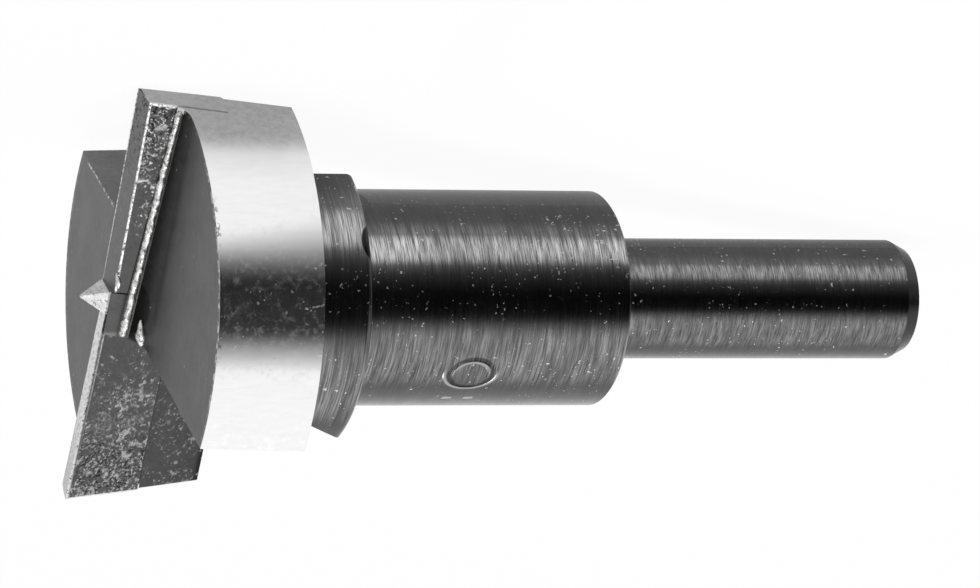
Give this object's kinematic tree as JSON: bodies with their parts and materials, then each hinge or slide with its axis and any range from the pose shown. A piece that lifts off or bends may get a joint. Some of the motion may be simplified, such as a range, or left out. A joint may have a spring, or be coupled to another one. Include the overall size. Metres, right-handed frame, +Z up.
{
  "type": "hinge boring bit",
  "caption": "Hinge boring bit with brazed carbide cutting plates, a ground centre point, milled chip gullets, a turned collar and boss, and a plain round shank.",
  "frame": {"origin": "on the ground, under the middle of the bit as it lies with one gullet down", "axes": "+X along the bit from its head to its shank, level with the ground, and +Z up"},
  "size_m": [0.0586, 0.0298, 0.0247],
  "materials": {
    "blackened_steel": "turned and blackened steel, the head's rim ground bright",
    "carbide": "sintered carbide, ground at the edges",
    "silver_solder": "bright solder bead"
  },
  "bodies": {
    "root": {"steel_body": "blackened_steel", "centre_point": "carbide", "cutting_plate_upper": "carbide", "cutting_plate_lower": "carbide", "braze_seam_upper": "silver_solder", "braze_seam_lower": "silver_solder"}
  },
  "joints": []
}
